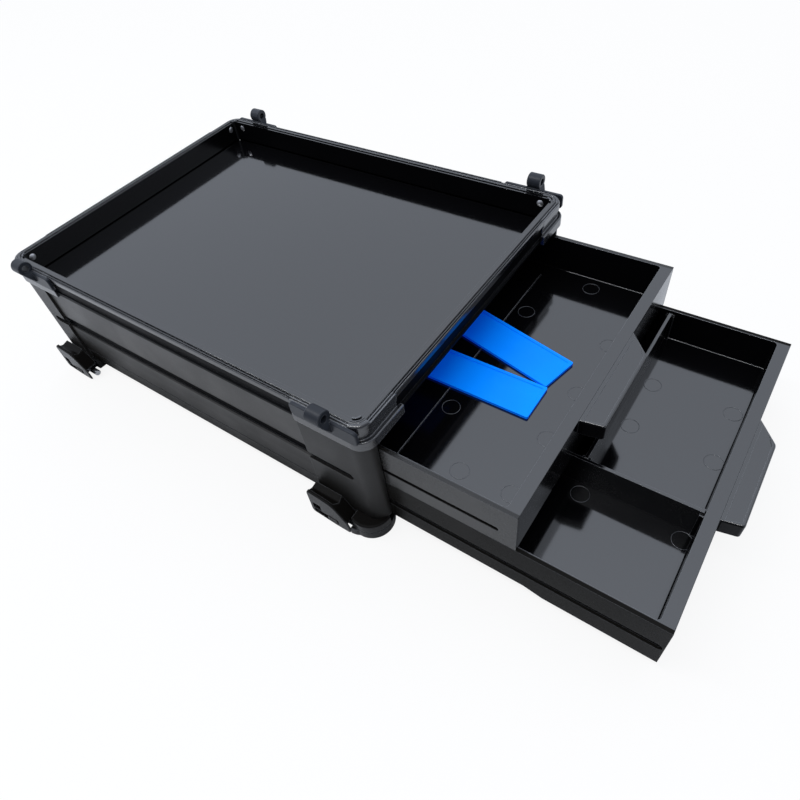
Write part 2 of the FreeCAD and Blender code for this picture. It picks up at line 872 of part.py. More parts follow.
def foot_screw_holes(places):
    upward = Vector(0, 0, 1)
    return [countersunk_hole(seat, upward, foot_screw_length)
            for seat in foot_screw_seats(places)]


def foot(bar_end, screw_places, latch):
    """Round foot with a bar under the post; latch maps the front latch to its place here."""
    centre = Vector(side_x(foot_centre_in), foot_centre_back, 0)
    top = foot_height - fit_gap
    disc = cylinder(foot_radius, centre, centre + Vector(0, 0, top))
    rims = edges_where(disc, lambda edge: len(edge.Vertexes) == 1)
    disc = disc.makeFillet(foot_round, rims)
    line = cut(cylinder(foot_radius + cut_past, centre + Vector(0, 0, foot_sole_height),
                        centre + Vector(0, 0, foot_sole_height + foot_line_height)),
               [cylinder(foot_radius - foot_line_height, centre, centre + Vector(0, 0, top))])
    drawer_room = box(side_x(post_thickness), 0, -2 * foot_radius, 3 * foot_radius,
                      foot_sole_height, foot_height + cut_past)
    bar = box(side_x(fit_gap), side_x(post_thickness), foot_centre_back, bar_end - fit_gap,
              latch_lift, top)
    latch_room = box(side_x(-2 * foot_radius), side_x(fit_gap), latch_front - fit_gap,
                     latch_back + foot_radius, -cut_past, latch_height)
    ring_room = box(side_x(-2 * foot_radius), side_x(pocket_inner), pocket_front, pocket_back,
                    -cut_past, pocket_top)
    panel_room = box(side_x(fit_gap), side_x(post_thickness), bar_end - fit_gap,
                     bar_end + 2 * foot_radius, panel_bottom - fit_gap, foot_height)
    rooms = [line, drawer_room, panel_room, latch(latch_room), latch(ring_room)]
    shape = cut(join([disc, bar]), rooms)
    tools = foot_screw_holes(screw_places) + [latch(latch_screw_hole())]
    for seat in foot_screw_seats(screw_places):
        down = Vector(seat.x, seat.y, -cut_past)
        tools.append(cylinder(screw_head_radius + foot_screw_room, down,
                              seat + Vector(0, 0, fit_gap)))
    return cut(shape, tools)


def in_place(shape):
    return shape


def back_latch(shape):
    """A front latch's shape at the back lug, seen mirrored from the back."""
    return to_back(moved_back(shape))


# ---- Latches ----
def latch_screw_seat():
    return Vector(side_x(-latch_screw_recess_floor), latch_screw_back, latch_screw_level)


def latch_screw_hole():
    seat = latch_screw_seat()
    end = seat + Vector(latch_screw_length - latch_screw_recess_floor + screw_clearance, 0, 0)
    return cylinder(screw_radius + screw_clearance, seat - Vector(cut_past, 0, 0), end)


def thumb_outline():
    """Outline (y, z) of the thumb plate, narrower at its front."""
    back = thumb_front + thumb_length
    return [
        (thumb_front, thumb_bottom + thumb_taper, soft_round),
        (back, thumb_bottom, soft_round),
        (back, thumb_top, soft_round),
        (thumb_front, thumb_top - thumb_taper, soft_round),
    ]


def latch_housing():
    back = side_x(-fit_gap)
    side_outline = [
        (latch_front, latch_lift, latch_nose_round),
        (latch_ridge_start, latch_lift, latch_ridge_round),
        (latch_back, latch_tail_lift, latch_tail_round),
        (latch_back, latch_height, latch_tail_round),
        (latch_ridge_start, latch_height - latch_ridge_drop, latch_ridge_round),
        (latch_front + latch_nose_round, latch_nose_height + latch_nose_curve,
         latch_nose_curve),
        (latch_front, latch_nose_height, latch_nose_round),
    ]
    body = prism_x(side_outline, side_x(-latch_out), back)
    face = edges_where(body, lambda edge: abs(edge.BoundBox.XMax - side_x(-latch_out)) < 1e-4)
    body = body.makeFillet(latch_face_round, face)
    shelf_level = latch_height - latch_ridge_drop - latch_shelf_drop
    shelf_room = prism_y([
        (side_x(latch_ridge_width - latch_out), latch_height + cut_past),
        (side_x(latch_ridge_width - latch_out), shelf_level, soft_round),
        (side_x(-latch_shelf_out), shelf_level - latch_shelf_slope, latch_nose_round),
        (side_x(cut_past), shelf_level),
        (side_x(cut_past), latch_height + cut_past),
    ], 0, 2 * latch_back)
    pocket = box(side_x(-pocket_outer), side_x(cut_past), pocket_front, pocket_back,
                 -cut_past, pocket_top)
    track_end = thumb_front + thumb_length + latch_travel + slide_gap
    track_start = thumb_front - thumb_track_margin
    track = prism_x([
        (track_start, thumb_bottom - slide_gap, soft_round),
        (track_end, thumb_bottom - slide_gap, soft_round),
        (track_end, thumb_top + slide_gap, soft_round),
        (track_start, thumb_top + slide_gap, soft_round),
    ], side_x(-2 * latch_out), side_x(-thumb_track_floor))
    half_recess = latch_screw_recess / 2
    recess = prism_x([
        (latch_screw_back - half_recess, latch_screw_level - half_recess, soft_round),
        (latch_screw_back + half_recess, latch_screw_level - half_recess, soft_round),
        (latch_screw_back + half_recess, latch_screw_level + half_recess, soft_round),
        (latch_screw_back - half_recess, latch_screw_level + half_recess, soft_round),
    ], side_x(-2 * latch_out), side_x(-latch_screw_recess_floor))
    bore_start = Vector(side_x(-lug_axis_out), pocket_back - fit_gap, bolt_level)
    bore_end = Vector(side_x(-lug_axis_out), track_end + fit_gap, bolt_level)
    bore = cylinder(bolt_radius + bolt_clearance, bore_start, bore_end)
    half_neck = thumb_neck_height / 2 + slide_gap
    neck_start = thumb_front + (thumb_length - thumb_neck_width) / 2 - slide_gap
    neck_end = neck_start + thumb_neck_width + latch_travel + 2 * slide_gap
    neck_slot = box(side_x(-latch_out), side_x(-lug_axis_out), neck_start, neck_end,
                    bolt_level - half_neck, bolt_level + half_neck)
    return cut(body, [shelf_room, pocket, track, recess, bore, neck_slot, latch_screw_hole()])


def latch_bolt():
    start = Vector(side_x(-lug_axis_out), bolt_tip_place, bolt_level)
    end = Vector(side_x(-lug_axis_out), thumb_front + thumb_length, bolt_level)
    bolt = cylinder(bolt_radius, start, end)
    tip = edges_where(bolt, lambda edge: edge.BoundBox.YMax < bolt_tip_place + 0.01)
    return bolt.makeChamfer(bolt_tip_chamfer, tip)


def latch_slider():
    """Thumb plate with a neck that grips the bolt."""
    inner = side_x(-thumb_track_floor - slide_gap)
    outer = side_x(-latch_out - thumb_proud)
    plate = prism_x(thumb_outline(), outer, inner)
    pitch = thumb_length / (thumb_grip_ribs + 1)
    grooves = []
    for index in range(thumb_grip_ribs):
        place = thumb_front + pitch * (index + 1)
        grooves.append(box(outer - cut_past, outer + thumb_grip_depth,
                           place - thumb_grip_width / 2, place + thumb_grip_width / 2,
                           thumb_bottom + thumb_taper, thumb_top - thumb_taper))
    half_neck = thumb_neck_height / 2
    neck_start = thumb_front + (thumb_length - thumb_neck_width) / 2
    neck = box(inner - thumb_root, side_x(-lug_axis_out - bolt_radius / 2), neck_start,
               neck_start + thumb_neck_width, bolt_level - half_neck, bolt_level + half_neck)
    seat_start = Vector(side_x(-lug_axis_out), 0, bolt_level)
    seat_end = Vector(side_x(-lug_axis_out), cabinet_depth, bolt_level)
    seat = cylinder(bolt_radius + bolt_seat_gap, seat_start, seat_end)
    return cut(join([cut(plate, grooves), neck]), [seat])


# ---- Drawers ----
class Drawer:
    """Sizes of one drawer, as it stands drawn out by the given amount."""

    def __init__(self, top, bottom, floor, groove_bottom, groove_height, groove_stop, drawn,
                 projection):
        self.top = top
        self.bottom = bottom
        self.floor = floor
        self.groove_bottom = groove_bottom
        self.groove_height = groove_height
        self.front = front_face_closed - drawn
        self.inner_front = self.front + drawer_front_thickness
        self.back = self.front + drawer_length
        self.groove_start = self.front + groove_stop
        self.projection = projection


upper = Drawer(upper_top, upper_bottom, upper_floor, upper_groove_bottom, upper_groove_height,
               upper_groove_stop, upper_drawn, upper_pull_projection)
lower = Drawer(lower_top, lower_bottom, lower_floor, lower_groove_bottom, lower_groove_height,
               lower_groove_stop, lower_drawn, lower_pull_projection)


def pull_plan(drawer, inset, back_reach):
    """Plan of a pull: straight on its left, slanted on its right."""
    front = drawer.front - drawer.projection + inset
    back = drawer.front + back_reach
    return [
        (pull_left + inset, back),
        (pull_outer_left + inset, front, pull_left_round),
        (pull_outer_right - inset, front, pull_right_round),
        (pull_right - inset, back),
    ]


def pull(drawer):
    """Cup pull, open below, with a dished top inside a thin border."""
    high = drawer.top - pull_drop
    low = high - pull_depth
    outer = prism_z(pull_plan(drawer, 0.0, drawer_front_skin), low, high)
    top_edges = edges_where(outer, lambda edge: flat_at(edge, high)
                            and edge.BoundBox.YMin < drawer.front - cut_past)
    outer = outer.makeFillet(pull_round, top_edges)
    inside = prism_z(pull_plan(drawer, pull_wall, 0.0), low - cut_past, high - pull_wall)
    dish = prism_z(pull_plan(drawer, pull_border, -pull_border), high - pull_dish,
                   high + cut_past)
    return cut(outer, [inside, dish])


def drawer_body(drawer, side_profile):
    """Open tray of a drawer with a boxed front, side grooves and a hollow underside."""
    shell = prism_x(side_profile, -half_drawer, half_drawer)
    inner_half = half_drawer - drawer_wall
    inner_back = drawer.back - drawer_wall
    inside = rounded_box(-inner_half, inner_half, drawer.inner_front, inner_back,
                         drawer.floor, drawer.top + cut_past, drawer_corner_radius)
    floor_edges = edges_where(inside, lambda edge: flat_at(edge, drawer.floor))
    inside = inside.makeFillet(drawer_floor_fillet, floor_edges)
    low = drawer.bottom - lower_front_drop - cut_past
    under = rounded_box(-inner_half, inner_half, drawer.inner_front, inner_back, low,
                        drawer.floor - drawer_floor_thickness, drawer_corner_radius)
    front_slot = box(-inner_half, inner_half, drawer.front + drawer_front_skin,
                     drawer.inner_front - drawer_front_skin, low,
                     drawer.top - drawer_front_skin)
    shell = cut(shell, [inside, under, front_slot])
    high = drawer.groove_bottom + drawer.groove_height
    half = drawer.groove_height * near_half
    end = drawer.back + cut_past
    groove_plan = [
        (drawer.groove_start, drawer.groove_bottom, half),
        (end, drawer.groove_bottom),
        (end, high),
        (drawer.groove_start, high, half),
    ]
    near = prism_x(groove_plan, -half_drawer - cut_past, -half_drawer + drawer_groove_depth)
    return join([cut(shell, [near, to_right(near)]), pull(drawer)])


def drawer_upper():
    profile = [(upper.front, upper.bottom, drawer_edge_round),
               (upper.back, upper.bottom, drawer_edge_round),
               (upper.back, upper.top, drawer_edge_round),
               (upper.front, upper.top, drawer_edge_round)]
    body = drawer_body(upper, profile)
    seam_y = upper.inner_front + upper_seam_place
    seam_half = half_drawer - drawer_wall - seam_margin
    seam = box(-seam_half, seam_half, seam_y, seam_y + seam_width, upper.floor - seam_depth, upper.floor + seam_depth)
    return cut(body, [seam])


def drawer_lower():
    dropped = lower.bottom - lower_front_drop
    profile = [(lower.front, dropped, drawer_edge_round),
               (lower.front + lower_drop_start, dropped, lower_drop_round),
               (lower.front + lower_drop_end, lower.bottom, lower_drop_round),
               (lower.back, lower.bottom, drawer_edge_round),
               (lower.back, lower.top, drawer_edge_round),
               (lower.front, lower.top, drawer_edge_round)]
    return join([drawer_body(lower, profile)] + divider_slots())


def slot_ribs(x0, x1, y0, y1, along_y):
    """Two ribs that hold a divider's edge between them, from the floor to its top."""
    top = lower.top - divider_top_gap - divider_slot_drop
    room = divider_thickness + 2 * fit_gap
    ribs = []
    for side in (-1, 1):
        shift = side * (room + divider_slot_rib) / 2
        if along_y:
            middle = (x0 + x1) / 2 + shift
            ribs.append(box(middle - divider_slot_rib / 2, middle + divider_slot_rib / 2,
                            y0, y1, lower.floor - fit_gap, top))
        else:
            middle = (y0 + y1) / 2 + shift
            ribs.append(box(x0, x1, middle - divider_slot_rib / 2,
                            middle + divider_slot_rib / 2, lower.floor - fit_gap, top))
    return ribs


def cross_divider_y():
    """Y of the middle of the cross divider."""
    return lower.inner_front + cross_divider_place + divider_thickness / 2


def divider_slots():
    x0 = long_divider_place - divider_thickness / 2
    x1 = long_divider_place + divider_thickness / 2
    front = slot_ribs(x0, x1, lower.inner_front - divider_root, lower.inner_front + divider_slot_reach,
                      True)
    inner_back = lower.back - drawer_wall
    back = slot_ribs(x0, x1, inner_back - divider_slot_reach, inner_back + divider_root, True)
    wall = half_drawer - drawer_wall
    middle = cross_divider_y()
    far = slot_ribs(wall - divider_slot_reach, wall + divider_root, middle - divider_thickness / 2,
                    middle + divider_thickness / 2, False)
    return front + back + far


def long_divider():
    """Lengthwise divider with two ribs that hold the cross divider."""
    x0 = long_divider_place - divider_thickness / 2
    x1 = long_divider_place + divider_thickness / 2
    top = lower.top - divider_top_gap
    plate = rounded_plate_x(x0, x1, lower.inner_front + fit_gap,
                            lower.back - drawer_wall - fit_gap, top)
    middle = cross_divider_y()
    ribs = slot_ribs(x1 - divider_root, x1 + divider_slot_reach, middle - divider_thickness / 2,
                     middle + divider_thickness / 2, False)
    lift = Vector(0, 0, 2 * fit_gap)
    for rib in ribs:
        rib.translate(lift)
    return join([plate] + ribs)


def rounded_plate_x(x0, x1, y0, y1, top):
    points = [(y0, lower.floor + fit_gap, divider_foot_round),
              (y1, lower.floor + fit_gap, divider_foot_round),
              (y1, top, soft_round), (y0, top, soft_round)]
    return prism_x(points, x0, x1)


def cross_divider():
    """Short divider from the long divider's ribs to the far wall's ribs."""
    y0 = cross_divider_y() - divider_thickness / 2
    y1 = cross_divider_y() + divider_thickness / 2
    x0 = long_divider_place + divider_thickness / 2 + fit_gap
    x1 = half_drawer - drawer_wall - fit_gap
    top = lower.top - divider_top_gap
    points = [(x0, lower.floor + fit_gap, divider_foot_round),
              (x1, lower.floor + fit_gap, divider_foot_round),
              (x1, top, soft_round), (x0, top, soft_round)]
    return prism_y(points, y0, y1)


def blue_divider(side, setback, turn):
    """Flat divider strip with a thin raised border, lying on the upper drawer's floor."""
    half = strip_width / 2
    low = upper.floor + fit_gap
    face = low + strip_thickness - strip_border_height
    strip = rounded_box(-half, half, 0, strip_length, low, low + strip_thickness, strip_corner)
    inner = rounded_box(-half + strip_border, half - strip_border, strip_border,
                        strip_length - strip_border, face, face + cut_past, strip_corner)
    strip = cut(strip, [inner])
    strip.rotate(Vector(0, 0, 0), Vector(0, 0, 1), turn)
    strip.translate(Vector(side, upper.inner_front + setback, 0))
    return strip


# ---- Runners ----
def runner(groove_bottom, groove_height, flange_bottom, flange_height):
    """Rail for a drawer's groove on a flange that the screws hold."""
    back = side_x(post_thickness + fit_gap)
    face = back + runner_flange_thickness
    tip = -half_drawer + drawer_groove_depth - slide_gap
    flange = box(back, face, runner_front, runner_back, flange_bottom,
                 flange_bottom + flange_height)
    low = groove_bottom + slide_gap
    high = groove_bottom + groove_height - slide_gap
    rail = prism_y([(back, low), (tip, low, runner_tip_round), (tip, high, runner_tip_round), (back, high)],
                   runner_front, runner_back)
    return cut(join([flange, rail]), runner_screw_holes(all_screw_places()))


def all_screw_places():
    back = [cabinet_depth - place for place in back_screw_places()]
    return front_screw_places() + list(panel_rib_places) + back


# ---- Groups ----
def compound(shapes):
    return Part.makeCompound(shapes)


def runner_screws():
    outward = Vector(-1, 0, 0)
    screws = []
    for seat in runner_screw_seats(all_screw_places()):
        screw = countersunk_screw(seat, outward, screw_length)
        screws += [screw, to_right(screw)]
    return compound(screws)


def tray_rivets():
    rivets = []
    for seat, inward in rivet_spots():
        rivets += four_corners(rivet(seat, inward))
    return compound(rivets)


def lug_screws():
    screws = []
    length = cap_wall + lug_pad_proud - lug_screw_cover - screw_clearance
    for end, places in ((in_place, lug_screw_places), (to_back, back_lug_screw_places())):
        for seat in lug_screw_seats(places):
            screw = end(pan_screw(seat, Vector(-1, 0, 0), length, screw_head_radius,
                                  lug_screw_head_height))
            screws += [screw, to_right(screw)]
    return compound(screws)


def foot_screws():
    upward = Vector(0, 0, 1)
    screws = []
    for end, places in ((in_place, foot_screw_places), (to_back, back_foot_screw_places)):
        for seat in foot_screw_seats(places):
            screw = end(countersunk_screw(seat, upward, foot_screw_length))
            screws += [screw, to_right(screw)]
    return compound(screws)


def latch_screws():
    seat = latch_screw_seat()
    screw = pan_screw(seat, Vector(1, 0, 0), latch_screw_length - latch_screw_recess_floor,
                      latch_screw_head_radius, latch_screw_head_height)
    back = moved_back(screw)
    return compound([screw, to_right(screw), back, to_right(back)])


def write(name, shape):
    moved = shape.copy()
    moved.translate(Vector(0, -origin_y, 0))
    moved.exportStep("parts/" + name + ".step")
    print(name, len(moved.Solids), moved.isValid(), round(moved.Volume / 1000, 2))


def write_corners(name, front_left, back_left):
    write(name + "_front_left", front_left)
    write(name + "_front_right", to_right(front_left))
    write(name + "_back_left", back_left)
    write(name + "_back_right", to_right(back_left))


def main():
    os.makedirs("parts", exist_ok=True)
    write_corners("corner_post", front_post(), to_back(back_post()))
    write_corners("corner_cap", corner_cap(lug_screw_places),
                  to_back(corner_cap(back_lug_screw_places())))
    lug = lug_bracket()
    back_lug = lug.copy()
    back_lug.translate(Vector(0, back_lug_centre - lug_centre, 0))
    write_corners("stacking_lug", lug, to_back(back_lug))
    write_corners("foot", foot(front_post_length, foot_screw_places, in_place),
                  to_back(foot(back_post_length, back_foot_screw_places, back_latch)))
    housing = latch_housing()
    write_corners("latch_housing", housing, moved_back(housing))
    slider = latch_slider()
    write_corners("latch_slider", slider, moved_back(slider))
    bolt = latch_bolt()
    write_corners("latch_bolt", bolt, moved_back(bolt))
    panel = side_panel()
    write("side_panel_left", panel)
    write("side_panel_right", to_right(panel))
    write("back_panel", to_back(back_panel()))
    rail = side_rail()
    write("side_rail_left", rail)
    write("side_rail_right", to_right(rail))
    write("front_rail", end_rail())
    write("back_rail", to_back(end_rail()))
    write("top_tray", top_tray())
    write("tray_rivets", tray_rivets())
    high = runner(upper_groove_bottom, upper_groove_height, upper_flange_bottom,
                  upper_flange_height)
    write("upper_runner_left", high)
    write("upper_runner_right", to_right(high))
    low = runner(lower_groove_bottom, lower_groove_height, lower_flange_bottom,
                 lower_flange_height)
    write("lower_runner_left", low)
    write("lower_runner_right", to_right(low))
    write("runner_screws", runner_screws())
    write("lug_screws", lug_screws())
    write("foot_screws", foot_screws())
    write("latch_screws", latch_screws())
    write("upper_drawer", drawer_upper())
    write("lower_drawer", drawer_lower())
    write("long_divider", long_divider())
    write("cross_divider", cross_divider())
    write("blue_divider_a", blue_divider(strip_a_right, strip_a_setback, strip_a_angle))
    write("blue_divider_b", blue_divider(-strip_b_left, strip_b_setback, strip_b_angle))


main()
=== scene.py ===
import bmesh
import bpy
import json
import math
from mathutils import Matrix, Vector


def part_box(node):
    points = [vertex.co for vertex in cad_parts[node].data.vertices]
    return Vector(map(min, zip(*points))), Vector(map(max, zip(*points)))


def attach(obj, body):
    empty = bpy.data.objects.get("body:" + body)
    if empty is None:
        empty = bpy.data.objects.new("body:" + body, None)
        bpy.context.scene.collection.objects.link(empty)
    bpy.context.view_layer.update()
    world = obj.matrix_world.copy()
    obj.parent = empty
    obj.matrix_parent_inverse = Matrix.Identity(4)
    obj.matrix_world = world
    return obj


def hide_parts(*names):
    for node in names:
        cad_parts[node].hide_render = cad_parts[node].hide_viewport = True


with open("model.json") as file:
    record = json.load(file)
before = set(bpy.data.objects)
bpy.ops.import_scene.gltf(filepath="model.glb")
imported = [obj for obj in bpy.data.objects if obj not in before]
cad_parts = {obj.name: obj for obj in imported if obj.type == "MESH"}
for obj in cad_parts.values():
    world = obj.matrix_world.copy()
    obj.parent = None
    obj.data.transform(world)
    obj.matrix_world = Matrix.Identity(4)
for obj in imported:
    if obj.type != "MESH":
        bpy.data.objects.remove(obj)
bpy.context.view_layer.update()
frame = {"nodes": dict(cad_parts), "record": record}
nodes = frame["nodes"]

# A low tackle cabinet with a tray on top and two drawers drawn out. Metres throughout.
MM = 0.001

# ---- Colours, as linear light ----
GLOSS_BLACK = (0.0016, 0.0016, 0.0020)
# Near black for painted shade: low on the side panels and posts, and on the tops of the feet
PAINTED_SHADE_BLACK = (0.0045, 0.0040, 0.0036)
FOOT_BLACK = (0.0030, 0.0030, 0.0034)
POST_BLACK = (0.0085, 0.0078, 0.0070)
SIDE_BLACK = (0.0065, 0.0060, 0.0052)
SATIN_BLACK = (0.0150, 0.0135, 0.0120)
CAP_BLACK = (0.0075, 0.0080, 0.0100)
RAIL_BLACK = (0.004, 0.004, 0.005)
LUG_GREY = (0.015, 0.0175, 0.023)
# Grey of the ejector rings and tray corner webs: a painted highlight on the black moulding
MARK_HIGHLIGHT_GREY = (0.035, 0.037, 0.042)
# Pale grey painted along rounded edges as a highlight
EDGE_HIGHLIGHT_GREY = (0.30, 0.31, 0.33)
BLUE = (0.001, 0.31, 0.98)
BLUE_DEEP = (0.001, 0.26, 0.92)
# Painted glow given off by the blue moulding, which is no lamp
BLUE_PAINTED_GLOW = (0.0, 0.01, 0.24, 1.0)
RIVET = (0.80, 0.80, 0.82)
ZINC = (0.56, 0.57, 0.60)
# Black painted shade in the crease where the tray's floor meets its walls
CREASE_SHADE_BLACK = (0.0, 0.0, 0.0, 1.0)
FLOOR_WHITE = (0.80, 0.80, 0.80)

# ---- Shine of the finishes; several levels paint light and shade on some faces ----
GLOSS_IOR = 1.8
GLOSS_LEVEL = 0.5
RAIL_LEVEL = 0.37
BLUE_LEVEL = 0.06
FLOOR_LEVEL = 0.2
# Upright faces of mouldings and drawers reflect less than their tops: painted shade
WALL_LEVEL = 0.36
# Tray walls reflect more than the tray's top: a painted sheen
TRAY_WALL_LEVEL = 0.85
# Front faces of the drawers: painted shade
FRONT_LEVEL = 0.10
SHADED_LEVEL = 0.02
FOOT_TOP_SHADE_LEVEL = 0.05
FOOT_SIDE_LEVEL = 0.15
LOW_SHADE_LEVEL = 0.04
UNDER_BEAD_SHADE_LEVEL = 0.03
GLOSS_ROUGHNESS = 0.06
SHADED_ROUGHNESS = 0.40
SIDE_ROUGHNESS = 0.40

# ---- Grain, dust and painted highlights along edges ----
# How much painted edge highlight goes on, and how far a face must turn to get it
EDGE_HIGHLIGHT_SHARE = 0.6
EDGE_HIGHLIGHT_TURN = (0.01, 0.15)
RIPPLE_SCALE = 14.0
WIPE_SCALE = 30.0
DUST_SCALE = 900.0
DUST_RANGE = (0.70, 0.80)
HANDLED_SCALE = 22.0
HANDLED_RANGE = (0.42, 0.66)
SATIN_GRAIN = (1700.0, 0.00003)
DULL_GRAIN = (1500.0, 0.00001)
DRAWN_ACROSS = 900.0
DRAWN_ALONG = 3.0

# ---- Which way a face has to turn ----
UPRIGHT_TURN = (0.10, 0.45)
LEFT_TURN = (0.5, 0.8)

# ---- Sizes read from the solids ----
DRAWER_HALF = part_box("upper_drawer")[1][0]
RIM_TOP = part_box("top_tray")[1][2]
TRAY_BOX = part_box("top_tray")

# ---- Sizes of the cabinet ----
CABINET_HALF = 146.0 * MM
CABINET_FRONT = -92.95 * MM
CABINET_BACK = CABINET_FRONT + 400.0 * MM
TRAY_RIM = 4.75 * MM
TRAY_FILLET = 1.5 * MM
TRAY_FLOOR = 108.5 * MM
TRAY_CORNER = 4.0 * MM
PULL_DEPTH = 13.0 * MM

# ---- Where one finish or painted shade gives way to another ----
DRAWER_SIDE = (DRAWER_HALF - 3.0 * MM, DRAWER_HALF - 2.9 * MM)
DRAWER_FACE = (0.2 * MM, 0.4 * MM)
# Limits of the black painted shade in the tray's crease
CREASE_SHADE_EDGE = (0.2 * MM, 0.4 * MM)
CREASE_SHADE_TOP = (TRAY_FLOOR + 1.1 * MM, TRAY_FLOOR + 1.3 * MM)
# Where the painted shade below the rails' bead begins
BEAD_FOOT = (RIM_TOP - 7.4 * MM, RIM_TOP - 6.9 * MM)
# How the painted shade low on panels and posts fades in, by height
PANEL_SHADE_FADE = (18.0 * MM, 82.0 * MM)
# Grooves on panels and posts, painted dark inside as shade
PANEL_GROOVE = (61.5 * MM, 71.5 * MM)
PANEL_GROOVE_DEPTH = 143.4 * MM
POST_SHADE_FADE = (-10.0 * MM, 75.0 * MM)
POST_GROOVE = (62.9 * MM, 70.1 * MM)
POST_GROOVE_DEPTH = 145.6 * MM
POST_CORNER = 20.0 * MM
GROOVE_BLUR = 0.4 * MM

# ---- Grooves along the top of the rim: near and far edge, from the outside ----
RIM_GROOVES = ((0.6 * MM, 1.6 * MM), (2.2 * MM, 3.25 * MM))
RIM_GROOVE_DEPTH = 2.0 * MM
RIM_GROOVE_END = 11.0 * MM
CUT_PAST = 2.0 * MM
MERGE_DISTANCE = 1e-6

# ---- Webs in the tray's corners: each arc's inner and outer radius and rise ----
WEB_ARCS = ((3.6 * MM, 5.0 * MM, 0.5 * MM), (6.6 * MM, 7.3 * MM, 0.4 * MM))
WEB_STEPS = 14
WEB_START = 4.0
WEB_SWEEP = 82.0
WEB_ROOT = 0.3 * MM
WEB_CHAMFER = 0.15 * MM

# ---- Toes of the front feet: outline from above in millimetres, on the right side ----
TOE_OUTLINE = ((154.4, -76.5), (155.9, -76.5), (157.4, -73.4), (158.3, -68.6), (154.4, -68.6))
TOE_HEIGHTS = (0.9 * MM, 8.6 * MM)
TOE_ROUND = 0.5 * MM
TOE_SEGMENTS = 3

# ---- Ejector rings: drawer, height of its floor, and places, in millimetres ----
RING_RADIUS = 6.9 * MM
RING_LINE = 0.22 * MM
RING_STEPS = 40
RING_LINE_STEPS = 8
RINGS = (
    ("upper_drawer", 68.0, ((116.4, -137.2), (64.5, -101.8), (-57.2, -101.2), (-103.4, -136.4),
                            (-102.2, -175.6), (-49.1, -175.9), (0.0, -176.7), (58.0, -177.2))),
    ("lower_drawer", 30.0, ((70.4, -215.1), (21.2, -215.2), (70.3, -277.8), (18.4, -279.0),
                            (-55.0, -280.4), (-55.4, -207.8))),
)

# ---- Room ----
DOME_TINT = (0.90, 0.97, 1.10)
DOME_SEEN = (0.992, 0.992, 0.992)
DOME_HORIZON = 0.75
DOME_TOP = 1.60
DOME_RISE = (0.30, 0.95)
BRIGHT_SIDE = (0.75, 0.66, 0.0)
BRIGHT_RANGE = (-0.55, 0.15)
DARK_LEVEL = 0.30
FLOOR_LIFT = 0.88
FLOOR_SIZE = 30.0
FLOOR_DROP = 0.2 * MM
STRIP_WIDTH = 0.14
STRIP_LENGTH = 2.6
STRIP_POWER = 18.0
STRIP_PLACE = (-0.62, 0.45, 1.8)
STRIP_TILT = -18.0
CAMERA_PLACE = (-0.30434, -0.27096, 0.42554)
CAMERA_TURN = (40.80, 6.16, -55.46)
CAMERA_LENS = 27.69
CAMERA_SENSOR = 36.0
CAMERA_NEAR = 0.01


# ---- Shader building ----
class Signal:
    """A shader output that arithmetic can be written on."""

    def __init__(self, tree, socket):
        self.tree = tree
        self.socket = socket

    def maths(self, operation, other, first=False):
        values = (other, self) if first else (self, other)
        return self.tree.node("ShaderNodeMath", {"operation": operation},
                              dict(enumerate(values)))

    def __abs__(self):
        return self.maths("ABSOLUTE", 0.0)

    def __add__(self, other):
        return self.maths("ADD", other)

    def __radd__(self, other):
        return self.maths("ADD", other, first=True)

    def __sub__(self, other):
        return self.maths("SUBTRACT", other)

    def __rsub__(self, other):
        return self.maths("SUBTRACT", other, first=True)

    def __mul__(self, other):
        return self.maths("MULTIPLY", other)

    def __rmul__(self, other):
        return self.maths("MULTIPLY", other, first=True)

    def larger(self, other):
        return self.maths("MAXIMUM", other)


class Tree:
    """A node tree that is built one node at a time."""

    def __init__(self, nodes):
        self.nodes = nodes

    def node(self, kind, settings=None, sockets=None, output=0):
        """Add a node with its settings and inputs; gives the output asked for."""
        made = self.nodes.nodes.new(kind)
        for key, value in (settings or {}).items():
            setattr(made, key, value)
        for key, value in (sockets or {}).items():
            self.feed(made.inputs[key], value)
        return Signal(self, made.outputs[output])

    def feed(self, socket, value):
        """Link a signal to a socket, or set the socket to a number or a colour."""
        if isinstance(value, Signal):
            self.nodes.links.new(value.socket, socket)
        elif isinstance(value, (int, float)):
            socket.default_value = value
        else:
            socket.default_value = tuple(value)[:len(socket.default_value)]

    def window(self, signal, low, high):
        """0 below low, 1 above high, straight between."""
        return self.node("ShaderNodeMapRange", {}, {0: signal, 1: low, 2: high})

    def between(self, signal, low, high, blur):
        """1 between low and high, falling to 0 over the blur inside each end."""
        return self.window(signal, low, low + blur) * (
            1 - self.window(signal, high - blur, high))

    def mix(self, share, colour_a, colour_b):
        """Colour a where the share is 0, colour b where it is 1."""
        def colour(value):
            return value if isinstance(value, Signal) else (*value, 1.0)
        return self.node("ShaderNodeMix", {"data_type": "RGBA"},
                         {0: share, 6: colour(colour_a), 7: colour(colour_b)}, 2)

    def seen(self):
        """1 where the camera looks straight at it."""
        return self.node("ShaderNodeLightPath", output="Is Camera Ray")


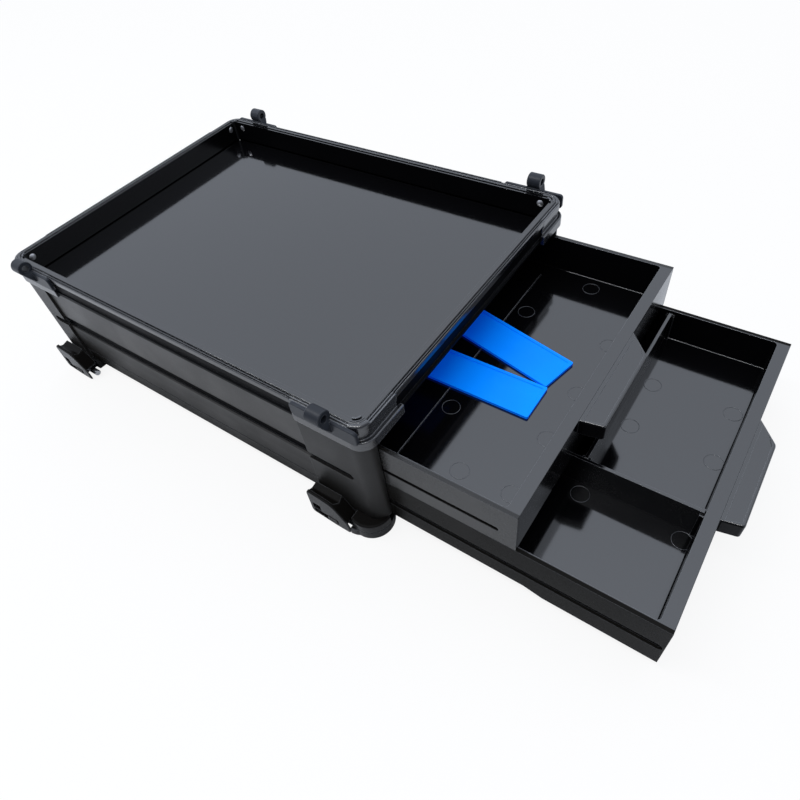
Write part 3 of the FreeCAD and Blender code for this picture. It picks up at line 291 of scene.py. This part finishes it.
class Paint(Tree):
    """One material: its node tree, its shader and what feeds them."""

    def __init__(self, name, edge=0.0):
        self.material = bpy.data.materials.new(name)
        self.material.use_nodes = True
        super().__init__(self.material.node_tree)
        self.shader = self.nodes.nodes["Principled BSDF"]
        self.place = self.node("ShaderNodeTexCoord", output="Object")
        if edge:
            self.rounded = self.node("ShaderNodeBevel", {"samples": 4}, {"Radius": edge})

    def set(self, **values):
        for key, value in values.items():
            self.feed(self.shader.inputs[key.replace("_", " ")], value)

    def along(self, axis):
        """One coordinate of the place on the object."""
        return self.node("ShaderNodeSeparateXYZ", {}, {"Vector": self.place}, axis)

    def facing(self, axis):
        """How far the surface faces along an axis, over its softened edges."""
        return self.node("ShaderNodeSeparateXYZ", {}, {"Vector": self.rounded}, axis)

    def upright(self):
        """1 on faces that stand upright."""
        return 1 - self.window(self.facing("Z"), *UPRIGHT_TURN)

    def facing_left(self):
        """1 on faces turned to the cabinet's left."""
        return self.window(-1 * self.facing("X"), *LEFT_TURN)

    def stretched(self, x, y, z):
        return self.node("ShaderNodeMapping", {}, {"Vector": self.place, "Scale": (x, y, z)})

    def noise(self, scale, detail, roughness=0.5, where=None):
        return self.node("ShaderNodeTexNoise", {}, {
            "Vector": where or self.place, "Scale": scale, "Detail": detail,
            "Roughness": roughness})

    def cells(self, scale):
        return self.node("ShaderNodeTexVoronoi", {}, {"Vector": self.place, "Scale": scale})

    def blend_shader(self, share, other):
        """Mix another shader in over part of the surface."""
        surface = self.nodes.nodes["Material Output"].inputs["Surface"]
        first = Signal(self, surface.links[0].from_socket)
        mixed = self.node("ShaderNodeMixShader", {}, {0: share, 1: first, 2: other})
        self.feed(surface, mixed)

    def edge_highlight_share(self):
        """1 along the softened edges, where the painted highlight goes, 0 on the open faces.
        """
        face = self.node("ShaderNodeNewGeometry", output="True Normal")
        turn = self.node("ShaderNodeVectorMath", {"operation": "DOT_PRODUCT"},
                         {0: self.rounded, 1: face}, "Value")
        return self.window(1 - turn, *EDGE_HIGHLIGHT_TURN)

    def relief(self, height, distance, strength=1.0):
        """Bump from a height, over the softened edges."""
        return self.node("ShaderNodeBump", {}, {
            "Height": height, "Distance": distance, "Strength": strength,
            "Normal": self.rounded})


# ---- Finishes ----
def paler(colour, factor, lift=0.0):
    return tuple(channel * factor + lift for channel in colour)


def polish(paint, colour, rough, wave=0.00006):
    """Injection moulding with a polished face: ripple, wiping marks, dust and a painted
    highlight along its edges.
    """
    ripple = paint.noise(RIPPLE_SCALE, 2.0)
    wipes = paint.noise(WIPE_SCALE, 4.0, 0.6, paint.stretched(1.0, 5.0, 1.0))
    dust = paint.window(paint.noise(DUST_SCALE, 2.0), *DUST_RANGE) * 0.5
    speckled = paint.mix(dust, colour, paler(colour, 1.6, 0.004))
    # The pale grey mixed in along the edges is a painted highlight
    paint.set(Base_Color=paint.mix(paint.edge_highlight_share() * EDGE_HIGHLIGHT_SHARE, speckled, EDGE_HIGHLIGHT_GREY),
              Roughness=rough + wipes * 0.05 + dust * 0.3,
              Specular_IOR_Level=GLOSS_LEVEL, IOR=GLOSS_IOR,
              Normal=paint.relief(ripple, wave))


def grain(paint, colour, rough, scale, depth):
    """Spark-eroded satin face: fine even grain, slightly shinier where it is touched, and a
    faint painted highlight along its edges.
    """
    fine = paint.cells(scale)
    handled = paint.window(paint.noise(HANDLED_SCALE, 4.0), *HANDLED_RANGE)
    shade = paint.mix(handled, colour, paler(colour, 1.35))
    # Half as much painted highlight along the edges
    shade = paint.mix(paint.edge_highlight_share() * 0.5 * EDGE_HIGHLIGHT_SHARE, shade, EDGE_HIGHLIGHT_GREY)
    return {"Base Color": shade, "Roughness": rough + fine * 0.08 - handled * 0.06,
            "Normal": paint.relief(fine, depth, 0.6)}


def satin(paint, colour, rough, level, scale=SATIN_GRAIN[0]):
    """Make the grained face the material's own."""
    for socket, value in grain(paint, colour, rough, scale, SATIN_GRAIN[1]).items():
        paint.feed(paint.shader.inputs[socket], value)
    paint.set(Specular_IOR_Level=level)


def dull(paint, colour, rough, level, share):
    """Mix in a duller, grained face where share is 1."""
    paint.blend_shader(share, paint.node("ShaderNodeBsdfPrincipled", {}, {
        "Specular IOR Level": level, **grain(paint, colour, rough, *DULL_GRAIN)}))


def polished_moulding(name, colour, rough, wave=0.00006, edge=0.0004, level=WALL_LEVEL):
    """Moulding that is polished on top, with a duller grained copy on its upright faces whose
    reflection level paints them darker, and on the caps brighter.
    """
    paint = Paint(name, edge)
    polish(paint, colour, rough, wave)
    # Painted light and shade on the upright faces, by their reflection level
    dull(paint, colour, 0.22, level, paint.upright())
    return paint.material


def foot_moulding():
    """Dark moulding with painted shade on its tops: they get a darker, nearly unreflecting
    copy, its upright faces a little shine.
    """
    paint = Paint("foot_moulding", 0.0011)
    polish(paint, FOOT_BLACK, 0.22, 0.00004)
    # Painted shade on the tops
    dull(paint, PAINTED_SHADE_BLACK, 0.35, FOOT_TOP_SHADE_LEVEL, 1 - paint.upright())
    dull(paint, FOOT_BLACK, 0.24, FOOT_SIDE_LEVEL, paint.upright())
    return paint.material


def groove_moulding(name, colour, level, shade_fade, groove, depth, ends):
    """Satin side moulding with painted shade: darker toward the ground, and dark inside its
    long groove.
    """
    paint = Paint(name, 0.0004)
    satin(paint, colour, SIDE_ROUGHNESS, level)
    height = paint.along("Z")
    # Painted shade, deepening toward the ground
    dull(paint, PAINTED_SHADE_BLACK, SIDE_ROUGHNESS, LOW_SHADE_LEVEL, 1 - paint.window(height, *shade_fade))
    # Painted shade inside the long groove: a dark, nearly unreflecting copy
    within = paint.between(height, *groove, GROOVE_BLUR)
    inward = 1 - paint.window(abs(paint.along("X")), depth - GROOVE_BLUR, depth)
    length = paint.between(paint.along("Y"), CABINET_FRONT + ends, CABINET_BACK - ends, MM)
    dull(paint, GLOSS_BLACK, 0.5, SHADED_LEVEL, within * inward * length)
    return paint.material


def grained_moulding(name, colour, rough, scale=SATIN_GRAIN[0]):
    """Satin moulding that is the same all over."""
    paint = Paint(name, 0.0005)
    satin(paint, colour, rough, 0.25, scale)
    return paint.material


def drawer_moulding(name, side_level):
    """Drawer: polished inside and grained on its outer faces, with painted light and shade:
    duller copies on its upright, left-facing and front faces, and its outer sides at a level
    of their own.
    """
    paint = Paint(name + "_moulding", 0.0005)
    polish(paint, GLOSS_BLACK, GLOSS_ROUGHNESS)
    outside = paint.window(abs(paint.along("X")), *DRAWER_SIDE)
    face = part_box(name)[0][1] + PULL_DEPTH
    front = 1 - paint.window(paint.along("Y"), *(face + past for past in DRAWER_FACE))
    # Painted shade: upright, left-facing and front faces get duller copies that read darker
    dull(paint, GLOSS_BLACK, 0.16, WALL_LEVEL, paint.upright())
    dull(paint, GLOSS_BLACK, SHADED_ROUGHNESS, SHADED_LEVEL, paint.facing_left())
    dull(paint, SIDE_BLACK, 0.24, side_level, outside)
    dull(paint, GLOSS_BLACK, 0.20, FRONT_LEVEL, front * paint.upright())
    return paint.material


def tray_moulding():
    """Tray: polished, with painted light and shade: a more reflective copy on its upright
    faces, a nearly unreflecting one on faces turned left, and a black line where its floor
    meets its walls.
    """
    paint = Paint("tray_moulding", 0.0001)
    polish(paint, GLOSS_BLACK, GLOSS_ROUGHNESS)
    # Painted light and shade: upright faces get a more reflective copy that reads brighter,
    # faces turned left a nearly unreflecting one that reads dark
    dull(paint, GLOSS_BLACK, 0.14, TRAY_WALL_LEVEL, paint.upright())
    dull(paint, GLOSS_BLACK, SHADED_ROUGHNESS, SHADED_LEVEL, paint.facing_left())
    low, high = TRAY_BOX
    inset = TRAY_RIM + TRAY_FILLET
    outward = abs(paint.along("X")) - (high[0] - inset)
    outward = outward.larger(low[1] + inset - paint.along("Y"))
    outward = outward.larger(paint.along("Y") - (high[1] - inset))
    wall = paint.window(outward, *CREASE_SHADE_EDGE)
    foot = 1 - paint.window(paint.along("Z"), *CREASE_SHADE_TOP)
    # A black, unreflecting shader paints shade into the crease at the foot of the walls
    crease_shade = paint.node("ShaderNodeBsdfPrincipled", {}, {
        "Base Color": CREASE_SHADE_BLACK, "Roughness": 1.0, "Specular IOR Level": 0.0})
    paint.blend_shader(wall * foot, crease_shade)
    return paint.material


def drawn_rail(name, along):
    """Black lacquered extrusion with fine drawing lines along its length, a painted highlight
    along its edges and painted shade below its bead.
    """
    paint = Paint(name, 0.0003)
    scale = tuple(DRAWN_ALONG if axis == along else DRAWN_ACROSS for axis in range(3))
    lines = paint.noise(1.0, 2.0, 0.6, paint.stretched(*scale))
    cloud = paint.noise(40.0, 3.0)
    shade = paint.mix(lines, RAIL_BLACK, paler(RAIL_BLACK, 2.0))
    # Pale grey along the edges is a painted highlight
    paint.set(Base_Color=paint.mix(paint.edge_highlight_share() * EDGE_HIGHLIGHT_SHARE, shade, EDGE_HIGHLIGHT_GREY),
              Roughness=0.13 + lines * 0.08 + cloud * 0.04,
              Specular_IOR_Level=RAIL_LEVEL, IOR=GLOSS_IOR,
              Normal=paint.relief(lines, 0.00001, 0.5))
    # Painted shade on the web and lip below the bead
    below = 1 - paint.window(paint.along("Z"), *BEAD_FOOT)
    dull(paint, GLOSS_BLACK, SHADED_ROUGHNESS, UNDER_BEAD_SHADE_LEVEL, below)
    return paint.material


def blue_moulding():
    """Blue moulding with deeper clouds and a faint painted glow of its own."""
    paint = Paint("blue_moulding", 0.0003)
    cloud = paint.window(paint.noise(18.0, 3.0), 0.3, 0.7)
    swirl = paint.noise(120.0, 3.0, 0.6)
    paint.set(Base_Color=paint.mix(cloud, BLUE, BLUE_DEEP),
              Roughness=0.30 + swirl * 0.08, Specular_IOR_Level=BLUE_LEVEL,
              # Emission paints a faint glow into the blue
              Emission_Color=BLUE_PAINTED_GLOW, Emission_Strength=1.0,
              Normal=paint.relief(swirl, 0.00002, 0.5))
    return paint.material


def turned_metal(name, colour, rough):
    """Bright fastener metal with fine scuffs."""
    paint = Paint(name, 0.0002)
    scuffs = paint.noise(1500.0, 3.0, 0.6, paint.stretched(1.0, 4.0, 1.0))
    paint.set(Base_Color=paint.mix(scuffs, paler(colour, 0.7), colour), Metallic=1.0,
              Roughness=rough + scuffs * 0.18,
              Normal=paint.relief(scuffs, 0.00001, 0.5))
    return paint.material


FINISHES = {
    "gloss_black": polished_moulding("gloss_black_moulding", GLOSS_BLACK, GLOSS_ROUGHNESS),
    "gloss_blue": blue_moulding(),
    "satin_black": grained_moulding("satin_black_moulding", SATIN_BLACK, 0.42),
    # The caps' upright faces reflect more than their tops: a painted sheen
    "cap_black": polished_moulding("cap_moulding", CAP_BLACK, 0.18, 0.00004, 0.0012, 1.0),
    "lug_grey": grained_moulding("lug_moulding", LUG_GREY, 0.36),
    "slider_black": grained_moulding("slider_moulding", SATIN_BLACK, 0.40, 2600.0),
    "anodised_black": drawn_rail("black_rail_long", 1),
    "anodised_cross": drawn_rail("black_rail_cross", 0),
    "runner_black": grained_moulding("runner_moulding", SATIN_BLACK, 0.34, 2200.0),
    "rivet_aluminium": turned_metal("rivet_metal", RIVET, 0.22),
    "zinc_steel": turned_metal("zinc_screw", ZINC, 0.30),
    "tray": tray_moulding(),
    # Outer sides: the upper drawer's reflect as lit, the lower's hardly at all, as painted
    # shade
    "upper_drawer": drawer_moulding("upper_drawer", 0.46),
    "lower_drawer": drawer_moulding("lower_drawer", 0.035),
    "foot": foot_moulding(),
    # The rings and webs wear this grey as a painted highlight
    "mark": polished_moulding("moulded_mark_highlight", MARK_HIGHLIGHT_GREY, 0.10, 0.00003, 0.0001, 0.5),
    "panel": groove_moulding("panel_moulding", SATIN_BLACK, 0.42, PANEL_SHADE_FADE, PANEL_GROOVE,
                             PANEL_GROOVE_DEPTH, 0.0),
    "post": groove_moulding("post_moulding", POST_BLACK, 0.25, POST_SHADE_FADE, POST_GROOVE,
                            POST_GROOVE_DEPTH, POST_CORNER),
}

# Nodes whose finish isn't that of their slot, by how their names start
OWN_FINISH = (
    ("front_rail", "anodised_cross"),
    ("back_rail", "anodised_cross"),
    ("side_panel", "panel"),
    ("corner_post", "post"),
    ("top_tray", "tray"),
    ("upper_drawer", "upper_drawer"),
    ("lower_drawer", "lower_drawer"),
    ("foot", "foot"),
    ("latch_housing", "foot"),
)


def finish_of(entry):
    """Name of the finish that a node wears."""
    for start, finish in OWN_FINISH:
        if entry["node"].startswith(start):
            return finish
    return entry["material_slot"]


def finish_nodes():
    """Give every solid its finish."""
    for entry in frame["record"]["subparts"]:
        mesh = nodes[entry["node"]].data
        mesh.materials.clear()
        mesh.materials.append(FINISHES[finish_of(entry)])


# ---- Detail pieces ----
def keep(mesh, name, body, finish):
    """Make a finished piece of a mesh and let it ride on a body."""
    mesh.materials.clear()
    mesh.materials.append(FINISHES[finish])
    piece = bpy.data.objects.new(name, mesh)
    bpy.context.scene.collection.objects.link(piece)
    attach(piece, body)
    return piece


def scratch(mesh):
    """Object that carries a mesh through its modifiers."""
    made = bpy.data.objects.new("scratch", mesh)
    bpy.context.scene.collection.objects.link(made)
    return made


def evaluated_mesh(source):
    """Plain mesh of an object with its modifiers; the object is removed."""
    bpy.context.view_layer.update()
    graph = bpy.context.evaluated_depsgraph_get()
    mesh = bpy.data.meshes.new_from_object(source.evaluated_get(graph))
    bpy.data.objects.remove(source)
    return mesh


def built_mesh(work, name):
    """Mesh of a finished bmesh, its normals turned outward."""
    bmesh.ops.recalc_face_normals(work, faces=work.faces)
    mesh = bpy.data.meshes.new(name)
    work.to_mesh(mesh)
    work.free()
    return mesh


def merged_copy(mesh):
    """Copy of a solid's mesh with its loose triangles joined."""
    copy = mesh.copy()
    work = bmesh.new()
    work.from_mesh(copy)
    bmesh.ops.remove_doubles(work, verts=work.verts, dist=MERGE_DISTANCE)
    work.to_mesh(copy)
    work.free()
    return copy


def block(work, low, high):
    """Add a box with given corners to a bmesh."""
    for vert in bmesh.ops.create_cube(work, size=1.0)["verts"]:
        vert.co = Vector((high[i] if vert.co[i] > 0 else low[i]) for i in range(3))


def rim_cutter():
    """Bars that cut two grooves into the top of the rim on each side, short of the corners."""
    left, right = -CABINET_HALF, CABINET_HALF
    front, back = CABINET_FRONT, CABINET_BACK
    bottom, top = RIM_TOP - RIM_GROOVE_DEPTH, RIM_TOP + CUT_PAST
    work = bmesh.new()
    for near, far in RIM_GROOVES:
        start, stop = front + RIM_GROOVE_END, back - RIM_GROOVE_END
        block(work, (left + near, start, bottom), (left + far, stop, top))
        block(work, (right - far, start, bottom), (right - near, stop, top))
        start, stop = left + RIM_GROOVE_END, right - RIM_GROOVE_END
        block(work, (start, front + near, bottom), (stop, front + far, top))
        block(work, (start, back - far, bottom), (stop, back - near, top))
    return scratch(built_mesh(work, "rim_cutter"))


def grooved_rim():
    """Rails and corner caps with the two grooves along their top."""
    cutter = rim_cutter()
    for entry in frame["record"]["subparts"]:
        name, slot = entry["node"], entry["material_slot"]
        if "rail" not in name and "corner_cap" not in name:
            continue
        source = scratch(merged_copy(nodes[name].data))
        groove = source.modifiers.new("groove", "BOOLEAN")
        groove.operation = "DIFFERENCE"
        groove.object = cutter
        mesh = evaluated_mesh(source)
        piece = keep(mesh, "grooved_" + name, "cabinet", finish_of(entry))
        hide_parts(name)
    bpy.data.objects.remove(cutter)


def foot_toes():
    """Low toes that carry the outline of each front foot on to the nose of its latch."""
    low, high = TOE_HEIGHTS
    work = bmesh.new()
    for side in (-1, 1):
        ring = [work.verts.new((side * x * MM, y * MM, low)) for x, y in TOE_OUTLINE]
        face = work.faces.new(ring)
        grown = bmesh.ops.extrude_face_region(work, geom=[face])["geom"]
        moved = [item for item in grown if isinstance(item, bmesh.types.BMVert)]
        bmesh.ops.translate(work, verts=moved, vec=(0.0, 0.0, high - low))
    bmesh.ops.bevel(work, geom=work.edges[:], offset=TOE_ROUND, segments=TOE_SEGMENTS,
                    affect="EDGES", clamp_overlap=True)
    mesh = built_mesh(work, "front_foot_toes")
    keep(mesh, "front_foot_toes", "cabinet", "foot")


def geometry_tree(name, inputs):
    """Empty Geometry Nodes tree with a geometry input and output and named inputs."""
    group = bpy.data.node_groups.new(name, "GeometryNodeTree")
    group.interface.new_socket("Geometry", in_out="INPUT", socket_type="NodeSocketGeometry")
    for label, kind in inputs:
        group.interface.new_socket(label, in_out="INPUT", socket_type=kind)
    group.interface.new_socket("Geometry", in_out="OUTPUT", socket_type="NodeSocketGeometry")
    return group, Tree(group)


def run_tree(group, mesh, values):
    """Evaluate a tree on a mesh with the given inputs."""
    source = scratch(mesh)
    modifier = source.modifiers.new(group.name, "NODES")
    modifier.node_group = group
    for item in group.interface.items_tree:
        if item.in_out == "INPUT" and item.name in values:
            modifier[item.identifier] = values[item.name]
    return evaluated_mesh(source)


def ring_tree():
    """Fine raised ring at each point, as an ejector pin leaves on a moulding."""
    group, tree = geometry_tree("ejector_rings", [
        ("Ring radius", "NodeSocketFloat"), ("Line radius", "NodeSocketFloat"),
        ("Finish", "NodeSocketMaterial")])

    def value(label):
        return tree.node("NodeGroupInput", output=label)

    ring = tree.node("GeometryNodeCurvePrimitiveCircle", {},
                     {"Resolution": RING_STEPS, "Radius": value("Ring radius")})
    line = tree.node("GeometryNodeCurvePrimitiveCircle", {},
                     {"Resolution": RING_LINE_STEPS, "Radius": value("Line radius")})
    wire = tree.node("GeometryNodeCurveToMesh", {}, {"Curve": ring, "Profile Curve": line})
    points = tree.node("GeometryNodeMeshToPoints", {}, {"Mesh": value("Geometry")})
    placed = tree.node("GeometryNodeInstanceOnPoints", {},
                       {"Points": points, "Instance": wire})
    real = tree.node("GeometryNodeRealizeInstances", {}, {"Geometry": placed})
    done = tree.node("GeometryNodeSetMaterial", {},
                     {"Geometry": real, "Material": value("Finish")})
    tree.feed(group.nodes.new("NodeGroupOutput").inputs[0], done)
    return group


def ejector_rings():
    """Rings on the floors of the two drawers, painted grey as a highlight."""
    group = ring_tree()
    for body, level, places in RINGS:
        points = bpy.data.meshes.new("points")
        points.from_pydata([(x * MM, y * MM, level * MM) for x, y in places], [], [])
        mesh = run_tree(group, points, {
            "Ring radius": RING_RADIUS, "Line radius": RING_LINE,
            "Finish": FINISHES["mark"]})
        keep(mesh, body + "_ejector_rings", body, "mark")


def web_section(inner, outer, rise):
    """Radius and height of one arc's section, bevelled along its top."""
    edge = min(WEB_CHAMFER, rise / 2)
    return ((inner, -WEB_ROOT), (inner, rise - edge), (inner + edge, rise),
            (outer - edge, rise), (outer, rise - edge), (outer, -WEB_ROOT))


def web_arc(work, centre, side, end, section):
    """Sweep one section through a corner of the tray's rim."""
    rows = []
    for step in range(WEB_STEPS + 1):
        turn = math.radians(WEB_START + WEB_SWEEP * step / WEB_STEPS)
        way = Vector((side * math.cos(turn), end * math.sin(turn), 0.0))
        rows.append([work.verts.new(centre + way * radius + Vector((0.0, 0.0, height)))
                     for radius, height in section])
    count = len(section)
    for first, second in zip(rows, rows[1:]):
        for i in range(count):
            j = (i + 1) % count
            work.faces.new((first[i], first[j], second[j], second[i]))
    work.faces.new(rows[0][::-1])
    work.faces.new(rows[-1])


def corner_webs():
    """Webs in the corners of the tray's rim, each with two raised arcs, painted grey as a
    highlight.
    """
    low, high = TRAY_BOX
    reach = TRAY_RIM + TRAY_CORNER
    across = high[0] - reach
    work = bmesh.new()
    for side in (-1, 1):
        for end, place in ((-1, low[1] + reach), (1, high[1] - reach)):
            centre = Vector((side * across, place, RIM_TOP))
            for arc in WEB_ARCS:
                web_arc(work, centre, side, end, web_section(*arc))
    keep(built_mesh(work, "tray_corner_webs"), "tray_corner_webs", "cabinet",
         "mark")


# ---- Floor, light and camera ----
def pale_floor():
    """A pale floor that shows lighter to the camera than it lights the object."""
    paint = Paint("pale_floor")
    cloud = paint.noise(3.0, 3.0)
    paint.set(Base_Color=paint.mix(cloud, FLOOR_WHITE, paler(FLOOR_WHITE, 0.985)),
              Roughness=0.9, Specular_IOR_Level=FLOOR_LEVEL)
    glow = paint.node("ShaderNodeEmission", {}, {"Color": (1, 1, 1, 1), "Strength": 1.0})
    paint.blend_shader(paint.seen() * FLOOR_LIFT, glow)
    bpy.ops.mesh.primitive_plane_add(size=FLOOR_SIZE, location=(0, 0, -FLOOR_DROP))
    floor = bpy.context.object
    floor.name = "floor"
    floor.data.materials.append(paint.material)


def white_room():
    """A white dome: level at the horizon, brighter overhead, and plain white to the camera."""
    world = bpy.data.worlds.new("room")
    bpy.context.scene.world = world
    world.use_nodes = True
    dome = Tree(world.node_tree)
    heading = dome.node("ShaderNodeTexCoord", output="Generated")
    height = dome.node("ShaderNodeSeparateXYZ", {}, {"Vector": heading}, "Z")
    level = DOME_HORIZON + (DOME_TOP - DOME_HORIZON) * dome.window(height, *DOME_RISE)
    toward = dome.node("ShaderNodeVectorMath", {"operation": "DOT_PRODUCT"},
                       {0: heading, 1: BRIGHT_SIDE}, "Value")
    level = level * (DARK_LEVEL + (1 - DARK_LEVEL) * dome.window(toward, *BRIGHT_RANGE))
    seen = dome.seen()
    background = world.node_tree.nodes["Background"]
    dome.feed(background.inputs["Color"], dome.mix(seen, DOME_TINT, DOME_SEEN))
    dome.feed(background.inputs["Strength"], level * (1 - seen) + seen)


def lamps():
    """A narrow strip overhead that draws highlights along the rounded edges."""
    data = bpy.data.lights.new("edge_strip", "AREA")
    data.shape = "RECTANGLE"
    data.size, data.size_y = STRIP_WIDTH, STRIP_LENGTH
    data.energy = STRIP_POWER
    strip = bpy.data.objects.new("edge_strip", data)
    strip.location = STRIP_PLACE
    strip.rotation_euler = (0.0, math.radians(STRIP_TILT), 0.0)
    bpy.context.scene.collection.objects.link(strip)


def camera():
    """View from the front left, above, with the slight roll of a hand-held shot."""
    data = bpy.data.cameras.new("camera")
    data.lens = CAMERA_LENS
    data.sensor_width = CAMERA_SENSOR
    data.clip_start = CAMERA_NEAR
    made = bpy.data.objects.new("camera", data)
    made.location = CAMERA_PLACE
    made.rotation_euler = [math.radians(turn) for turn in CAMERA_TURN]
    bpy.context.scene.collection.objects.link(made)
    bpy.context.scene.camera = made


finish_nodes()
grooved_rim()
foot_toes()
ejector_rings()
corner_webs()
pale_floor()
white_room()
lamps()
camera()
bpy.context.scene.view_settings.view_transform = "Standard"
